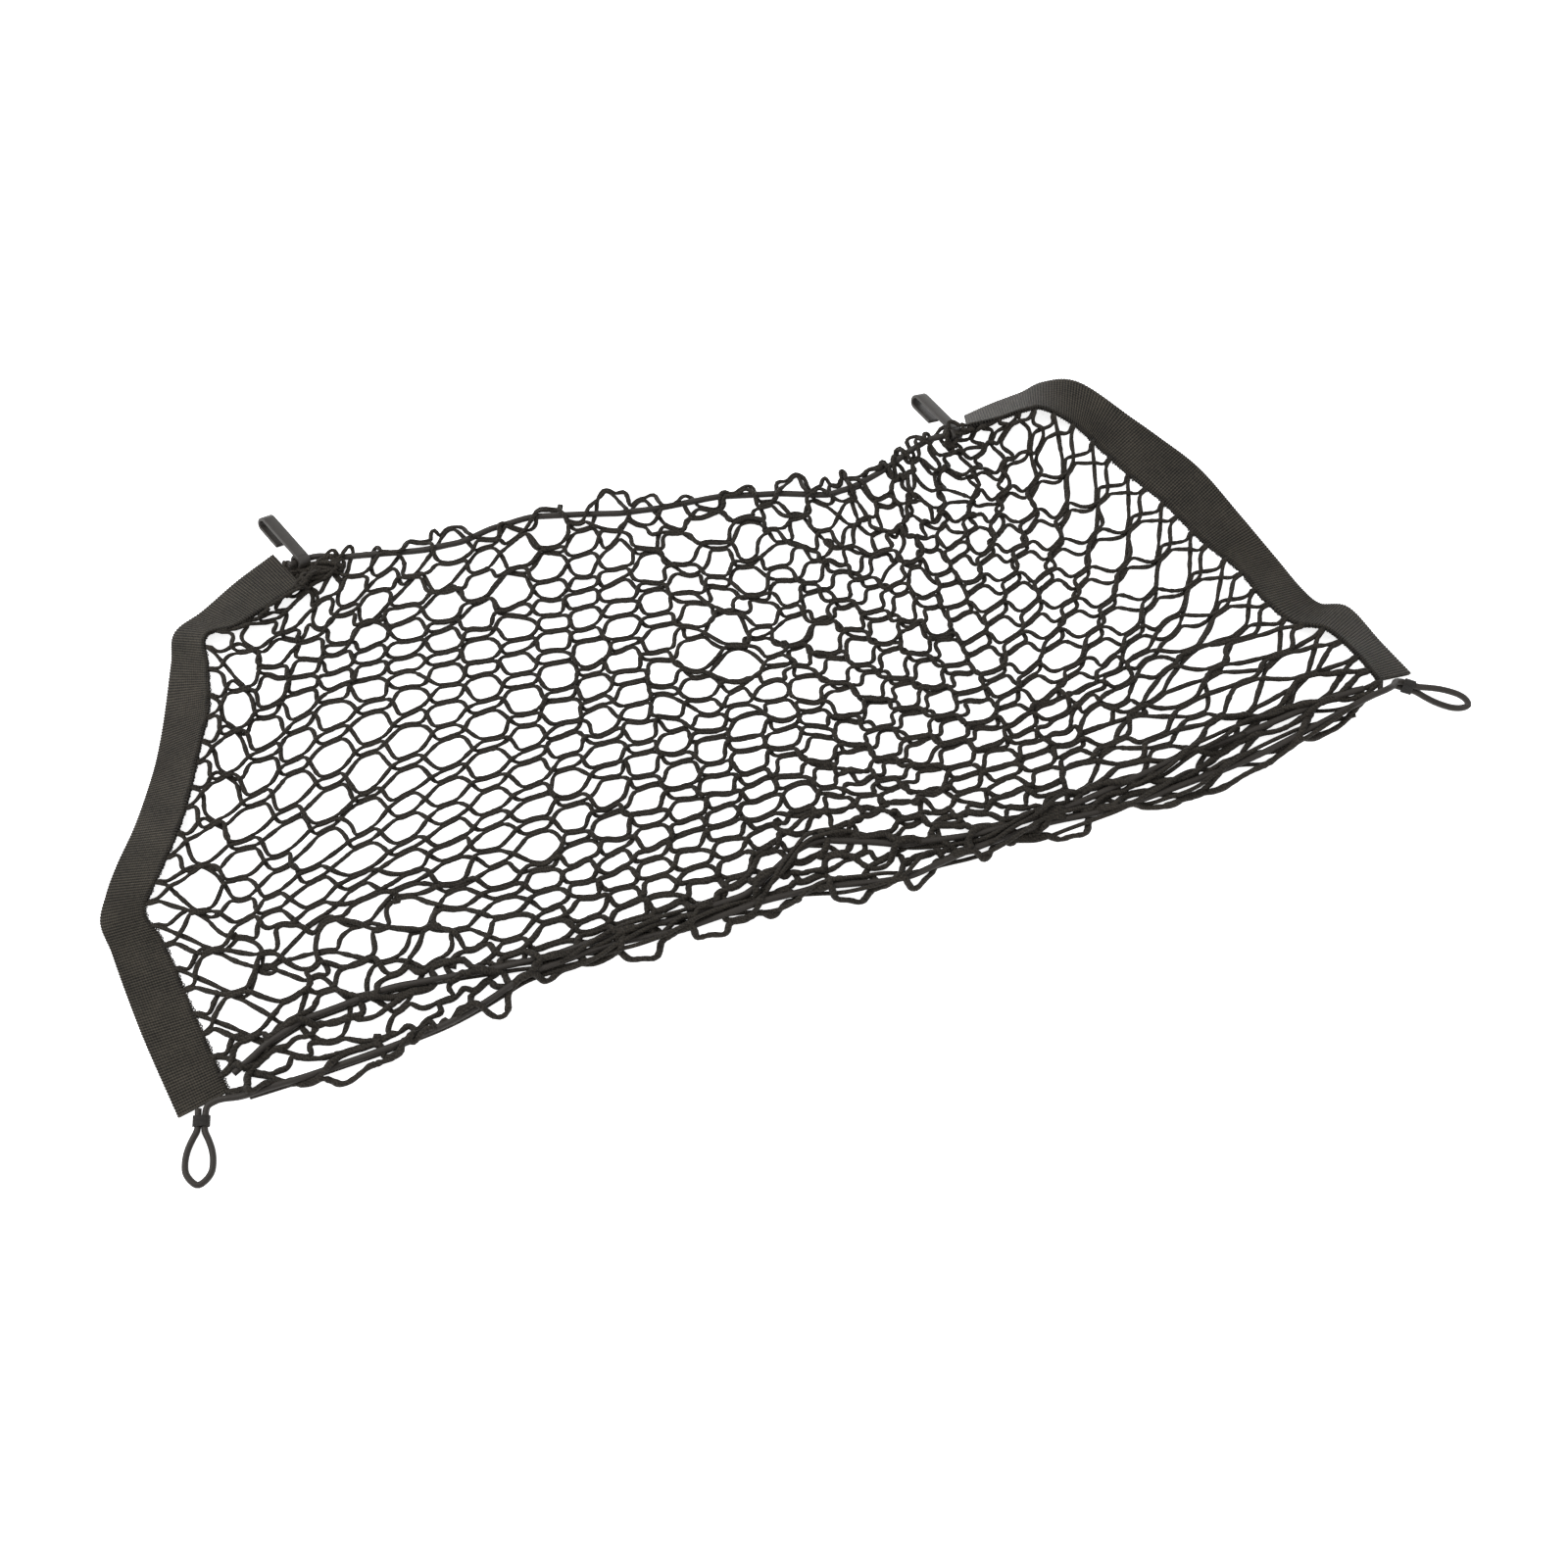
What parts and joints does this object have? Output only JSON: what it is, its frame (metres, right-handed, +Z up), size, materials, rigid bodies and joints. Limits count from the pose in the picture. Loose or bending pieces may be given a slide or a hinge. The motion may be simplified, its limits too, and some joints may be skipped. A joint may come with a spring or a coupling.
{
  "type": "cargo net",
  "caption": "Cargo net of doubled hexagonal netting lying creased on a floor, bound with folded webbing at both ends, with elastic edge cords, cord loops and flat plastic hooks.",
  "frame": {"origin": "centre of the net's outline in plan, on the floor it lies on", "axes": "+X along the net's long side towards the standing tape corner, +Y from the near cords towards the far cord and hooks, +Z up"},
  "size_m": [1.0264, 0.5022, 0.0316],
  "materials": {
    "netting": "matt knitted polyester strands",
    "webbing": "matt ribbed woven tape",
    "cord_sheath": "smooth braided sheath, slight sheen",
    "whipping": "matt thread",
    "hook_plastic": "satin moulded plastic"
  },
  "bodies": {
    "root": {"net": "netting", "tape_left": "webbing", "tape_right": "webbing", "cord_far": "cord_sheath", "cord_near_upper": "cord_sheath", "cord_near_lower": "cord_sheath", "binding_left": "whipping", "binding_right": "whipping", "hook_left": "hook_plastic", "hook_right": "hook_plastic"}
  },
  "joints": []
}
